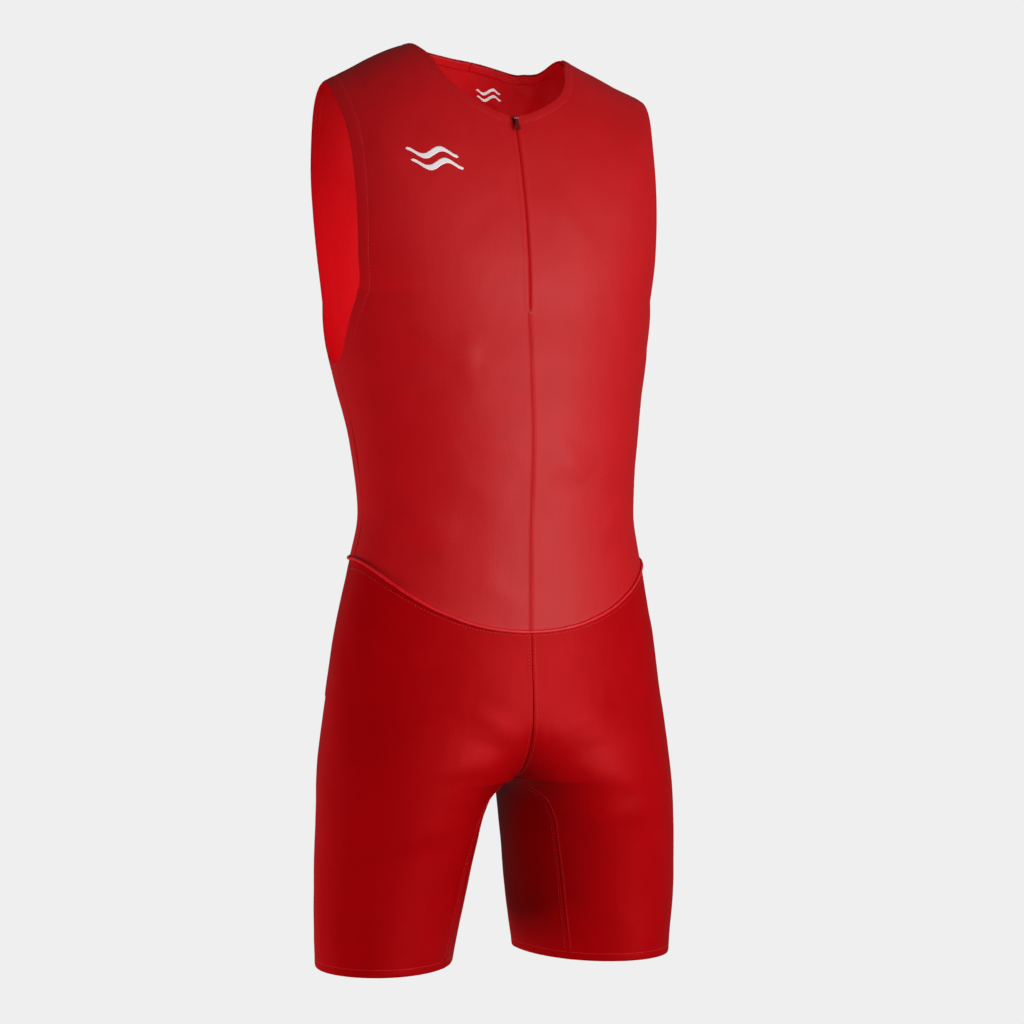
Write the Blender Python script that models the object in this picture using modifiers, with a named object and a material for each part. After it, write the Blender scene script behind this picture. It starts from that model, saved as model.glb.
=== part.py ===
# Sleeveless triathlon suit with a short front zip, held open in its worn shape.
# Metres, +Z up, the front of the suit towards -Y and the wearer's right towards -X.
# The origin is halfway between the two neck points, where the shoulders carry the suit.
#
# Each cut piece of cloth is one grid of points on the suit's outer face, made a wall by Solidify.

import math

import bmesh
import bpy
import numpy as np
from mathutils import Matrix, Vector
from mathutils.bvhtree import BVHTree

# ---------------------------------------------------------------- driving sizes

CLOTH = 0.0012            # wall of the cloth
TRIM = 0.0009             # wall of tapes and bands
GAP = 0.0003              # between pieces at every seam

CHEST_Z = -0.250          # fullest chest, where the yoke starts
CROTCH_Z = -0.716
CROTCH_Y = -0.070         # where the four leg edges meet

WAIST_FRONT_Z = -0.573    # the waist seam dips to the centre front
WAIST_SIDE_Z = -0.505
WAIST_BACK_Z = -0.496

NECK_RISE = 0.50          # rise at which the neckline leaves the centre front
BACK_NECK_RISE = 0.74     # the same at the centre back
ZIP_END_Z = -0.268
FRAME_STEP = 0.0005         # half the span over which directions on the bodice are taken
WELD_DISTANCE = 0.00001

RISE_FRONT_HEIGHT = 0.065  # height over which the centre seams curve under to the crotch
RISE_BACK_HEIGHT = 0.076

NECK_BAND_WIDTH = 0.009
NECK_BAND_INSET = 0.0008   # from the neckline
NECK_BAND_END_RISE = 0.985  # just below the shoulder seam
WAIST_PIPING_WIDTH = 0.005
ZIP_TAPE_WIDTH = 0.011
ZIP_TAPE_START = 0.0006    # its inner edge, from the centre front

SLIDER_RISE = 0.484        # place of the slider on the centre front
SLIDER_WIDTH = 0.0052
SLIDER_FOOT_WIDTH = 0.003744
SLIDER_CORNER = 0.0012      # radius of the shoulders; the foot's is four fifths of it
SLIDER_LENGTH = 0.0080
SLIDER_THICKNESS = 0.0018
LUG_THICKNESS = 0.0008     # the two lugs that hold the pull's pin
LUG_LENGTH = 0.0026
PIN_HEIGHT = 0.0015        # above the slider's face
PIN_OFFSET = 0.0018        # above the slider's middle
PIN_RADIUS = 0.00045
BARREL_RADIUS = 0.0011
BARREL_BORE = 0.00080
PULL_LENGTH = 0.0150
PULL_NECK = 0.0024
PULL_WIDTH = 0.0044
PULL_THICKNESS = 0.0010
PULL_LEAN = 7.0            # degrees that the hanging pull leans in towards the cloth

# Torso sections, top down. half_width at the side, y of the centre front, the side and the
# centre back, and how square the front and back halves are (2 is an ellipse).
TORSO = {
    "columns": ("z", "half_width", "front", "side", "back", "front_square", "back_square"),
    "level_ends": True,
    "rows": (
        (-0.250, 0.1650, -0.126, -0.002, 0.118, 2.35, 2.90),
        (-0.320, 0.1560, -0.133, -0.010, 0.104, 2.20, 2.50),
        (-0.390, 0.1440, -0.138, -0.025, 0.086, 2.15, 2.30),
        (-0.460, 0.1385, -0.133, -0.033, 0.074, 2.10, 2.20),
        (-0.520, 0.1490, -0.131, -0.031, 0.082, 2.10, 2.20),
        (-0.580, 0.1610, -0.131, -0.030, 0.096, 2.10, 2.20),
        (-0.640, 0.1690, -0.136, -0.030, 0.106, 2.10, 2.20),
    ),
}

# Yoke over the shoulders: what its sections become at the shoulder line, and how it rounds over.
YOKE = {
    "half_width": 0.186,
    "side": 0.0,
    "square": 3.5,
    "front_round": 1.65,
    "back_round": 2.05,
    "crest": 0.012,        # height of the shoulder line at the centre
    "crest_fall": 1.85,    # its fall for each square metre from the centre
}

# Leg sections, top down, for a leg at x > 0: the outermost, front, innermost and back points,
# and the place of the inseam in degrees from the innermost point towards the front.
LEG = {
    "columns": ("z", "x_out", "y_out", "x_front", "y_front", "x_in", "y_in", "x_back", "y_back",
                "square", "inseam"),
    "rows": (
        (-0.640, 0.1690, -0.030, 0.000, -0.136, 0.0002, -0.070, 0.000, 0.106, 2.10, 0),
        (-0.680, 0.1735, -0.031, 0.050, -0.135, 0.0002, -0.070, 0.050, 0.103, 2.10, 0),
        (-0.716, 0.1770, -0.032, 0.080, -0.1300, 0.0002, -0.070, 0.078, 0.0900, 2.10, 0),
        (-0.722, 0.1775, -0.032, 0.083, -0.1290, 0.0050, -0.052, 0.078, 0.0888, 2.10, 18),
        (-0.732, 0.1783, -0.033, 0.087, -0.1268, 0.0105, -0.032, 0.078, 0.0868, 2.10, 34),
        (-0.750, 0.1796, -0.034, 0.094, -0.1222, 0.0155, -0.017, 0.079, 0.0830, 2.10, 42),
        (-0.785, 0.1816, -0.035, 0.104, -0.1125, 0.0200, -0.004, 0.080, 0.0765, 2.05, 45),
        (-0.840, 0.1833, -0.033, 0.114, -0.1000, 0.0270, 0.010, 0.083, 0.0695, 2.00, 47),
        (-0.900, 0.1805, -0.027, 0.121, -0.0900, 0.0370, 0.018, 0.087, 0.0670, 2.00, 48),
    ),
}

# Armhole edge: the level is metres below the chest, or the rise from chest (0) to shoulder (1);
# the angles are degrees round the section from the centre front and the centre back.
ARMHOLE = {
    "columns": ("level", "front", "back"),
    "rows": (
        (-0.066, 90.0, 90.0),
        (-0.060, 84.5, 81.0),
        (-0.045, 78.0, 71.0),
        (-0.025, 71.5, 64.0),
        (0.000, 65.0, 60.0),
        (0.150, 61.0, 62.0),
        (0.350, 56.5, 63.0),
        (0.550, 54.0, 60.5),
        (0.750, 56.0, 59.0),
        (1.000, 57.0, 57.0),
    ),
}

# Neckline, from the centre to the neck point at the shoulder line.
NECK_FRONT = {
    "columns": ("rise", "angle"),
    "rows": ((0.50, 0.0), (0.55, 4.1), (0.61, 7.8), (0.68, 9.9), (0.76, 10.8), (0.84, 12.2), (1.0, 13.5)),
}
NECK_BACK = {
    "columns": ("rise", "angle"),
    "rows": ((0.74, 0.0), (0.76, 4.0), (0.80, 7.0), (0.88, 10.5), (1.0, 13.5)),
}

# Rows and columns of the grids.
SEAM_ROWS = 6              # from the waist seam up to the armhole
ARMHOLE_DROPS = (-0.063, -0.057, -0.045, -0.025, 0.0)
# Rows over the yoke as rises at the row's inner end, which climbs the neckline, and at the armhole.
YOKE_ROWS = {
    "front": ((0.12, 0.12), (0.25, 0.25), (0.37, 0.36), (0.45, 0.45), (0.50, 0.52), (0.52, 0.58),
              (0.545, 0.64), (0.58, 0.69), (0.64, 0.74), (0.71, 0.79), (0.79, 0.85), (0.89, 0.92),
              (0.998, 0.998)),
    "back": ((0.12, 0.12), (0.25, 0.25), (0.38, 0.37), (0.50, 0.48), (0.60, 0.57), (0.68, 0.64),
             (0.74, 0.70), (0.744, 0.75), (0.752, 0.80), (0.766, 0.84), (0.792, 0.88), (0.85, 0.92),
             (0.92, 0.96), (0.998, 0.998)),
}
QUARTER_COLUMNS = 11       # from a centre seam to the side
HIP_Z = -0.618             # first level row of the shorts
HIP_ROWS = 3
LEG_ROWS_ABOVE = (-0.640, -0.660, -0.677, -0.690, -0.7005, -0.7085, -0.7138)
LEG_ROWS_BELOW = (-0.716, -0.7190, -0.7235, -0.7295, -0.738, -0.751, -0.770, -0.797, -0.830,
                  -0.865, -0.900)
NECK_BAND_COLUMNS = 10     # on each half
ZIP_ROWS = 12

BODICE_RED = (0.42, 0.012, 0.018)
SHORTS_RED = (0.32, 0.006, 0.010)
TRIM_RED = (0.26, 0.006, 0.010)
METAL_RED = (0.20, 0.006, 0.010)


# ---------------------------------------------------------------- curves through the tables

def through_rows(table, name, at):
    """Smooth value of one column at a place in the first column, with no overshoot."""
    column = table["columns"].index(name)
    rows = sorted(table["rows"])
    xs = np.array([row[0] for row in rows], float)
    ys = np.array([row[column] for row in rows], float)
    steps = np.diff(ys) / np.diff(xs)
    slopes = np.gradient(ys, xs)
    for i in range(1, len(xs) - 1):
        if steps[i - 1] * steps[i] <= 0:
            slopes[i] = 0.0
        else:
            limit = 3 * min(abs(steps[i - 1]), abs(steps[i]))
            slopes[i] = math.copysign(min(abs(slopes[i]), limit), steps[i])
    if table.get("level_ends"):
        slopes[-1] = 0.0
    at = np.clip(at, xs[0], xs[-1])
    i = np.clip(np.searchsorted(xs, at) - 1, 0, len(xs) - 2)
    width = xs[i + 1] - xs[i]
    t = (at - xs[i]) / width
    return ((2 * t**3 - 3 * t**2 + 1) * ys[i] + (t**3 - 2 * t**2 + t) * width * slopes[i]
            + (3 * t**2 - 2 * t**3) * ys[i + 1] + (t**3 - t**2) * width * slopes[i + 1])


def spread_evenly(path, shares):
    """Points at the given shares of a path's length."""
    steps = np.linalg.norm(np.diff(path, axis=0), axis=1)
    along = np.concatenate([[0.0], np.cumsum(steps)])
    at = np.asarray(shares) * along[-1]
    return np.column_stack([np.interp(at, along, path[:, k]) for k in range(path.shape[1])])


# ---------------------------------------------------------------- the suit's outer face

def torso_point(face, angle, z):
    """A point of the torso: angle 0 is the centre of the face, 90 degrees is the side."""
    width = through_rows(TORSO, "half_width", z)
    side = through_rows(TORSO, "side", z)
    middle = through_rows(TORSO, face, z)
    power = 2 / through_rows(TORSO, face + "_square", z)
    x = width * np.sin(angle) ** power
    y = side + (middle - side) * np.abs(np.cos(angle)) ** power
    return np.array([x, y, z])


def yoke_point(face, angle, rise):
    """A point of the yoke: rise 0 is the chest, 1 is the shoulder line."""
    turn = rise * math.pi / 2
    up = math.sin(turn)
    start = {name: float(through_rows(TORSO, name, CHEST_Z))
             for name in ("half_width", "side", face, face + "_square")}
    width = start["half_width"] + (YOKE["half_width"] - start["half_width"]) * up
    side = start["side"] + (YOKE["side"] - start["side"]) * up
    power = 2 / (start[face + "_square"] + (YOKE["square"] - start[face + "_square"]) * up)
    over = 2 / YOKE[face + "_round"]
    x = width * math.sin(angle) ** power
    depth = (start[face] - start["side"]) * abs(math.cos(angle)) ** power
    crest = YOKE["crest"] - YOKE["crest_fall"] * x**2
    return np.array([x, side + depth * math.cos(turn) ** over,
                     CHEST_Z + (crest - CHEST_Z) * math.sin(turn) ** over])


def body_point(face, angle, level):
    """Level is metres below the chest, or the rise above it."""
    if level <= 0:
        return torso_point(face, angle, CHEST_Z + level)
    return yoke_point(face, angle, level)


def level_sizes(face, level):
    """Half width and squareness of a row, below or above the chest."""
    z = CHEST_Z + min(level, 0.0)
    up = math.sin(max(level, 0.0) * math.pi / 2)
    width = float(through_rows(TORSO, "half_width", z))
    square = float(through_rows(TORSO, face + "_square", z))
    return width + (YOKE["half_width"] - width) * up, square + (YOKE["square"] - square) * up


def body_at(face, x, level):
    """A point of the bodice at a distance x from the centre plane."""
    width, square = level_sizes(face, level)
    angle = math.asin(min(1.0, (abs(x) / width) ** (square / 2)))
    point = body_point(face, angle, level)
    return np.array([x, point[1], point[2]])


def body_frame(face, x, level):
    """Point, direction across, direction up and outward normal of the bodice's outer face."""
    step = FRAME_STEP
    here = body_at(face, x, level)
    across = (body_at(face, x + step, level) - body_at(face, x - step, level)) / (2 * step)
    up = (body_at(face, x, level + step) - body_at(face, x, level - step)) / (2 * step)
    normal = np.cross(across, up)
    normal /= np.linalg.norm(normal)
    return here, across, up, normal if face == "front" else -normal


def waist_seam_z(face, angle):
    middle = WAIST_FRONT_Z if face == "front" else WAIST_BACK_Z
    return middle + (WAIST_SIDE_Z - middle) * math.sin(angle) ** 2


def centre_seam_y(face, z):
    """The centre seam of the shorts curves under to the crotch."""
    height = RISE_FRONT_HEIGHT if face == "front" else RISE_BACK_HEIGHT
    share = min(1.0, (z - CROTCH_Z) / height)
    outer = float(through_rows(LEG, "y_" + face, z))
    return CROTCH_Y + (outer - CROTCH_Y) * math.sqrt(1 - (1 - share) ** 2)


def quadrant(x_mid, y_mid, x_end, y_end, square, first=0.0, last=90.0, count=31):
    """Part of a section between its x_mid, y_mid extreme and its x_end, y_end extreme."""
    t = np.radians(np.linspace(first, last, count))
    x = x_mid + (x_end - x_mid) * np.cos(t) ** (2 / square)
    y = y_end + (y_mid - y_end) * np.sin(t) ** (2 / square)
    return np.column_stack([x, y])


def cut_quadrant(s, face, z):
    """The inner quadrant above the crotch, cut off at the centre plane."""
    x_mid, y_mid = s["x_" + face], s["y_" + face]
    y_cut = centre_seam_y(face, z)
    share = min(0.9999, (y_cut - s["y_in"]) / (y_mid - s["y_in"]))
    reach = (1 - share ** s["square"]) ** (1 / s["square"])
    first = math.degrees(math.asin(share ** (s["square"] / 2)))
    return quadrant(x_mid, y_mid, x_mid - x_mid / reach, s["y_in"], s["square"], first)


def leg_section(z):
    """The front and the back half of a section of one leg at x > 0, both ending at the outside.

    Each half is an inner and an outer quadrant. Above the crotch the halves start on the
    centre plane, and below it on the inseam.
    """
    s = {name: float(through_rows(LEG, name, z)) for name in LEG["columns"]}
    square = s["square"]
    if z > CROTCH_Z:
        inner_front = cut_quadrant(s, "front", z)
        inner_back = cut_quadrant(s, "back", z)
    else:
        inner_front = quadrant(s["x_front"], s["y_front"], s["x_in"], s["y_in"], square, s["inseam"])
        inner_back = quadrant(s["x_back"], s["y_back"], s["x_in"], s["y_in"], square)
        past = quadrant(s["x_front"], s["y_front"], s["x_in"], s["y_in"], square, 0, s["inseam"])
        inner_back = np.concatenate([past[:0:-1], inner_back])
    outer_front = quadrant(s["x_front"], s["y_front"], s["x_out"], s["y_out"], square)[::-1]
    outer_back = quadrant(s["x_back"], s["y_back"], s["x_out"], s["y_out"], square)[::-1]
    return (trim_start(inner_front, GAP / 2), outer_front), (trim_start(inner_back, GAP / 2), outer_back)


def trim_start(path, length):
    total = np.linalg.norm(np.diff(path, axis=0), axis=1).sum()
    return spread_evenly(path, np.linspace(length / total, 1, len(path)))


# ---------------------------------------------------------------- cloth grids

def edge_angle(table, name, at):
    return math.radians(float(through_rows(table, name, at)))


def inner_angle(face, rise):
    """Where the neckline cuts a row of the yoke, 0 below it."""
    table, start = (NECK_FRONT, NECK_RISE) if face == "front" else (NECK_BACK, BACK_NECK_RISE)
    if rise <= start:
        return 0.0
    return edge_angle(table, "angle", rise)


def half_row(face, place, first, last, columns):
    """One row of a bodice panel from the centre outwards; place(angle) gives the point."""
    path = np.array([place(a) for a in np.linspace(first, last, 41)])
    return spread_evenly(path, np.linspace(0, 1, columns + 1))


def bodice_half(face):
    """Rows of one half of the bodice at x > 0, from the waist seam up to the shoulder."""
    rows = []
    side = math.pi / 2
    base = CHEST_Z + ARMHOLE["rows"][0][0]
    for k in range(SEAM_ROWS + 1):
        t = k / SEAM_ROWS
        rows.append(half_row(face, lambda a: torso_point(
            face, a, waist_seam_z(face, a) * (1 - t) + base * t), 0.0, side, QUARTER_COLUMNS))
    for inner, outer in [(drop, drop) for drop in ARMHOLE_DROPS] + list(YOKE_ROWS[face]):
        first = inner_angle(face, inner)
        last = edge_angle(ARMHOLE, face, outer)
        rows.append(half_row(face, lambda a: body_point(
            face, a, inner + (outer - inner) * (a - first) / (last - first)), first, last,
            QUARTER_COLUMNS))
    return open_seams(face, rows)


def open_seams(face, rows):
    """Draws the edges back by half a gap at the centre, side and shoulder seams."""
    out = -1 if face == "front" else 1
    for j, row in enumerate(rows):
        row[:, 0] = np.maximum(row[:, 0], GAP / 2) if face == "front" else row[:, 0]
        if j <= SEAM_ROWS:
            row[-1, 1] += out * GAP / 2
    rows[0][:, 2] += GAP / 2
    rows[-1][:, 1] = out * np.maximum(out * rows[-1][:, 1], GAP / 2)
    return rows


def leg_rows():
    """Rows of the leg panel at x > 0, from the waist seam down to the hem."""
    rows = []
    for k in range(HIP_ROWS + 1):
        t = k / HIP_ROWS
        halves = [half_row(face, lambda a: torso_point(
            face, a, waist_seam_z(face, a) * (1 - t) + HIP_Z * t), 0.0, math.pi / 2,
            QUARTER_COLUMNS) for face in ("front", "back")]
        rows.append(join_halves(halves))
    for z in LEG_ROWS_ABOVE + LEG_ROWS_BELOW:
        rows.append(join_halves([leg_half_row(inner, outer, z) for inner, outer in leg_section(z)]))
    for row in rows:
        row[:, 0] = np.maximum(row[:, 0], GAP / 2)
    rows[0][:, 2] -= GAP / 2
    return rows


def leg_half_row(inner, outer, z):
    """Columns of one half; the middle one moves over to the end of the inner quadrant."""
    down = min(1.0, (LEG["rows"][0][0] - z) / (LEG["rows"][0][0] - CROTCH_Z))
    inner_length, outer_length = (np.linalg.norm(np.diff(path, axis=0), axis=1).sum()
                                  for path in (inner, outer))
    inner_share = inner_length / (inner_length + outer_length)
    middle = 0.5 + (inner_share - 0.5) * down * down * (3 - 2 * down)
    shares = np.linspace(0, 1, QUARTER_COLUMNS + 1)
    path = np.concatenate([inner, outer[1:]])
    row = spread_evenly(path, np.interp(shares, (0, 0.5, 1), (0, middle, 1)))
    return np.column_stack([row, np.full(len(row), z)])


def join_halves(halves):
    """One row from the front edge round the outside to the back edge."""
    front, back = halves
    return np.concatenate([front, back[-2::-1]])


# ---------------------------------------------------------------- making objects

def material(name, colour, roughness):
    made = bpy.data.materials.new(name)
    made.use_nodes = True
    shader = made.node_tree.nodes["Principled BSDF"]
    shader.inputs["Base Color"].default_value = (*colour, 1.0)
    shader.inputs["Roughness"].default_value = roughness
    made.diffuse_color = (*colour, 1.0)
    return made


def add_object(collection, name, mesh, look):
    made = bpy.data.objects.new(name, mesh)
    collection.objects.link(made)
    mesh.materials.clear()
    mesh.materials.append(look)
    return made


def grid_mesh(name, sheets):
    """A mesh of one or more sheets, each of equal rows of points and whether its faces turn over."""
    points, faces = [], []
    for rows, flip in sheets:
        count = len(rows[0])
        for a in (len(points) + j * count + i for j in range(len(rows) - 1) for i in range(count - 1)):
            quad = (a, a + 1, a + count + 1, a + count)
            faces.append(quad[:1] + quad[:0:-1] if flip else quad)
        points += [tuple(p) for row in rows for p in row]
    mesh = bpy.data.meshes.new(name)
    mesh.from_pydata(points, [], faces)
    weld(mesh)
    mesh.shade_smooth()
    return mesh


def weld(mesh):
    work = bmesh.new()
    work.from_mesh(mesh)
    bmesh.ops.remove_doubles(work, verts=work.verts, dist=WELD_DISTANCE)
    work.to_mesh(mesh)
    work.free()


def cloth(collection, name, sheets, look, thickness=CLOTH):
    """The outer face of a piece, thickened inwards."""
    made = add_object(collection, name, grid_mesh(name, sheets), look)
    wall = made.modifiers.new("wall", "SOLIDIFY")
    wall.thickness = thickness
    wall.offset = -1.0
    wall.use_even_offset = True
    return made


def mirrored(rows):
    return [row * np.array([-1.0, 1.0, 1.0]) for row in rows]


def moved_along_normals(rows, distance):
    """The same rows moved out from the sheet by a distance."""
    grid = np.array(rows)
    across = np.gradient(grid, axis=1)
    up = np.gradient(grid, axis=0)
    normal = np.cross(across, up)
    normal /= np.linalg.norm(normal, axis=2, keepdims=True)
    return list(grid + normal * distance)


# ---------------------------------------------------------------- the pieces

def make_bodice(collection, look):
    front = bodice_half("front")
    cloth(collection, "front_left", [(front, False)], look)
    cloth(collection, "front_right", [(mirrored(front), True)], look)
    back = bodice_half("back")
    cloth(collection, "back", [(back, True), (mirrored(back), False)], look)


def make_legs(collection, look):
    rows = leg_rows()
    cloth(collection, "leg_left", [(rows, True)], look)
    cloth(collection, "leg_right", [(mirrored(rows), False)], look)


def neck_edge(count):
    """Evenly spaced (x, rise) along half of the back neckline, from the centre back."""
    rises = np.linspace(BACK_NECK_RISE, NECK_BAND_END_RISE, 80)
    places = []
    for rise in rises:
        width, square = level_sizes("back", rise)
        places.append((width * math.sin(inner_angle("back", rise)) ** (2 / square), rise))
    path = np.array([[*body_at("back", x, rise), x, rise] for x, rise in places])
    steps = np.linalg.norm(np.diff(path[:, :3], axis=0), axis=1)
    along = np.concatenate([[0.0], np.cumsum(steps)])
    at = np.linspace(0, along[-1], count + 1)
    return [(np.interp(v, along, path[:, 3]), np.interp(v, along, path[:, 4])) for v in at]


def neck_band_rows():
    """Rows from the neckline down the inside of the back, for the half at x > 0."""
    edge = neck_edge(NECK_BAND_COLUMNS)
    points = [body_at("back", x, rise) for x, rise in edge]
    panel = sheet_tree(bodice_half("back"))
    insets = NECK_BAND_INSET + np.linspace(0, NECK_BAND_WIDTH, 3)
    rows = [[] for _ in insets]
    for k, (x, rise) in enumerate(edge):
        _, across, up, _ = body_frame("back", x, rise)
        along = points[min(k + 1, len(edge) - 1)] - points[max(k - 1, 0)]
        if k == 0:
            along = np.array([1.0, 0.0, 0.0])
        move = np.array([up @ along, -across @ along])
        move /= np.linalg.norm(move[0] * across + move[1] * up)
        for row, inset in zip(rows, insets):
            row.append(laid_inside(panel, "back", x + move[0] * inset, rise + move[1] * inset))
    return [np.array(row) for row in rows]


def sheet_tree(rows):
    """The facets of a sheet, to find the nearest point on them."""
    grid = np.array(rows)
    count = grid.shape[1]
    corners = [(j * count + i, j * count + i + 1, (j + 1) * count + i + 1, (j + 1) * count + i)
               for j in range(len(rows) - 1) for i in range(count - 1)]
    return BVHTree.FromPolygons([tuple(p) for p in grid.reshape(-1, 3)], corners)


def laid_inside(panel, face, x, level):
    """A point laid on the inside of a panel with a gap."""
    here, _, _, normal = body_frame(face, x, level)
    return np.array(panel.find_nearest(Vector(here))[0]) - normal * (CLOTH + GAP)


def make_neck_band(collection, look):
    """The turned band that shows inside the back of the neck."""
    rows = neck_band_rows()
    cloth(collection, "neck_band_back", [(rows, False), (mirrored(rows), True)], look, TRIM)


def make_zip_tapes(collection, look):
    """Two tapes behind the opening, from the slider to the end of the zip."""
    panel = sheet_tree(bodice_half("front"))
    places = ZIP_TAPE_START + np.linspace(0, ZIP_TAPE_WIDTH, 3)
    rows = [np.array([laid_inside(panel, "front", x, level) for x in places])
            for level in np.linspace(ZIP_END_Z - CHEST_Z, SLIDER_RISE, ZIP_ROWS + 1)]
    cloth(collection, "zip_tape_left", [(rows, False)], look, TRIM)
    cloth(collection, "zip_tape_right", [(mirrored(rows), True)], look, TRIM)


def whole_round(front, back):
    """Joins a front and a back row at x > 0 into one closed ring, starting at the centre front."""
    half = np.concatenate([front, back[-2::-1]])
    return np.concatenate([half, mirrored([half])[0][-2:0:-1]])


def make_waist_piping(collection, look):
    """A narrow raised band all round over the waist seam."""
    bodice = [bodice_half(face) for face in ("front", "back")]
    legs = leg_rows()
    front = [row[:QUARTER_COLUMNS + 1] for row in legs[:2]]
    back = [row[:QUARTER_COLUMNS - 1:-1] for row in legs[:2]]
    ring = [whole_round(step_along(front, WAIST_PIPING_WIDTH / 2), step_along(back, WAIST_PIPING_WIDTH / 2)),
            whole_round(front[0], back[0]) + np.array([0, 0, GAP / 2]),
            whole_round(*(step_along(rows, WAIST_PIPING_WIDTH / 2) for rows in bodice))]
    ring = [row * np.where(np.abs(row[:, :1]) < GAP, [[0, 1, 1]], [[1, 1, 1]]) for row in ring]
    closed = [np.concatenate([row[-1:], row, row[:1]]) for row in ring]
    rows = [row[1:-1] for row in moved_along_normals(closed, GAP + TRIM)]
    rows = [np.concatenate([row, row[:1]]) for row in rows]
    cloth(collection, "waist_piping", [(rows, False)], look, TRIM)


def step_along(rows, distance):
    """Points a distance from the first row towards the second."""
    step = rows[1] - rows[0]
    return rows[0] + step * distance / np.linalg.norm(step, axis=1, keepdims=True)


# ---------------------------------------------------------------- the zip's slider and pull

def slider_frame():
    """Local axes on the centre front: X across, Y up along the zip, Z out of the cloth."""
    here, _, up, normal = body_frame("front", 0.0, SLIDER_RISE)
    up /= np.linalg.norm(up)
    frame = Matrix.Identity(4)
    for k, axis in enumerate((np.cross(up, normal), up, normal)):
        frame.col[k][:3] = axis
    frame.translation = Vector(here + normal * GAP)
    return frame


def box(name, size, centre):
    bpy.ops.mesh.primitive_cube_add(size=1, location=(0, 0, 0))
    made = bpy.context.object
    made.name = name
    made.data.transform(Matrix.Translation(Vector(centre)) @ Matrix.Diagonal((*size, 1)))
    return made


def rod(name, radius, length, centre, vertices=20):
    """A cylinder along X."""
    bpy.ops.mesh.primitive_cylinder_add(vertices=vertices, radius=radius, depth=length)
    made = bpy.context.object
    made.name = name
    turn = Matrix.Rotation(math.pi / 2, 4, "Y")
    made.data.transform(Matrix.Translation(Vector(centre)) @ turn)
    return made


def into(collection, made, name, look):
    for old in list(made.users_collection):
        old.objects.unlink(made)
    collection.objects.link(made)
    made.name = name
    made.data.name = name
    made.data.materials.clear()
    made.data.materials.append(look)
    return made


def boolean(made, other, operation, cutters):
    tool = made.modifiers.new(other.name, "BOOLEAN")
    tool.operation = operation
    tool.solver = "EXACT"
    tool.object = other
    for old in list(other.users_collection):
        old.objects.unlink(other)
    cutters.objects.link(other)
    other.hide_render = True
    other.display_type = "WIRE"


def plate(name, outline, thickness):
    """A flat plate from a rounded outline in local X and Y, centred on local Z = 0."""
    curve = bpy.data.curves.new(name, "CURVE")
    curve.dimensions = "2D"
    curve.fill_mode = "BOTH"
    curve.extrude = thickness / 2
    spline = curve.splines.new("POLY")
    spline.points.add(len(outline) - 1)
    for point, (x, y) in zip(spline.points, outline):
        point.co = (x, y, 0, 1)
    spline.use_cyclic_u = True
    shape = bpy.data.objects.new(name, curve)
    bpy.context.scene.collection.objects.link(shape)
    graph = bpy.context.evaluated_depsgraph_get()
    mesh = bpy.data.meshes.new_from_object(shape.evaluated_get(graph))
    bpy.data.objects.remove(shape, do_unlink=True)
    weld(mesh)
    made = bpy.data.objects.new(name, mesh)
    bpy.context.scene.collection.objects.link(made)
    return made


def slider_outline():
    """Wide round shoulders at the top and a narrower foot."""
    half, foot, length = SLIDER_WIDTH / 2, SLIDER_FOOT_WIDTH / 2, SLIDER_LENGTH / 2
    corner = SLIDER_CORNER
    points = []
    for x, y, radius, first in ((half, length, corner, 0), (foot, -length, corner * 0.8, -90)):
        for k in range(5):
            turn = math.radians(first + 90 * k / 4)
            points.append((x - radius + radius * math.cos(turn), y + math.copysign(radius, -y)
                           + radius * math.sin(turn)))
    right = points[5:] + points[:5]
    return right + [(-x, y) for x, y in reversed(right)]


def pull_outline():
    """A teardrop: a narrow neck at the pin and a round foot."""
    radius = PULL_WIDTH / 2
    centre = -PULL_LENGTH + radius
    points = [(PULL_NECK / 2, 0.0), (PULL_NECK / 2, -BARREL_RADIUS * 1.6)]
    for k in range(13):
        turn = math.radians(15 - 210 * k / 12)
        points.append((radius * math.cos(turn), centre + radius * math.sin(turn)))
    points += [(-PULL_NECK / 2, -BARREL_RADIUS * 1.6), (-PULL_NECK / 2, 0.0)]
    return points


def make_slider(collection, cutters, look):
    face = SLIDER_THICKNESS
    lug_x = PULL_NECK / 2 + GAP + LUG_THICKNESS / 2
    pin_z = face + PIN_HEIGHT
    body = plate("zip_slider", slider_outline(), SLIDER_THICKNESS)
    body.data.transform(Matrix.Translation((0, 0, face / 2)))
    for side in (-1, 1):
        lug = box("lug", (LUG_THICKNESS, LUG_LENGTH, PIN_HEIGHT + face / 2),
                  (side * lug_x, PIN_OFFSET, (pin_z + face / 2) / 2))
        boolean(body, lug, "UNION", cutters)
        cap = rod("lug_cap", LUG_LENGTH / 2, LUG_THICKNESS, (side * lug_x, PIN_OFFSET, pin_z))
        boolean(body, cap, "UNION", cutters)
    pin = rod("pin", PIN_RADIUS, 2 * lug_x, (0, PIN_OFFSET, pin_z), 12)
    boolean(body, pin, "UNION", cutters)
    into(collection, body, "zip_slider", look)
    return body, [lug for lug in cutters.objects], Vector((0, PIN_OFFSET, pin_z))


def make_pull(collection, cutters, look):
    tab = plate("zip_pull", pull_outline(), PULL_THICKNESS)
    barrel = rod("barrel", BARREL_RADIUS, PULL_NECK, (0, 0, 0))
    boolean(tab, barrel, "UNION", cutters)
    bore = rod("bore", BARREL_BORE, PULL_NECK * 2, (0, 0, 0))
    boolean(tab, bore, "DIFFERENCE", cutters)
    into(collection, tab, "zip_pull", look)
    return tab, [barrel, bore]


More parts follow.
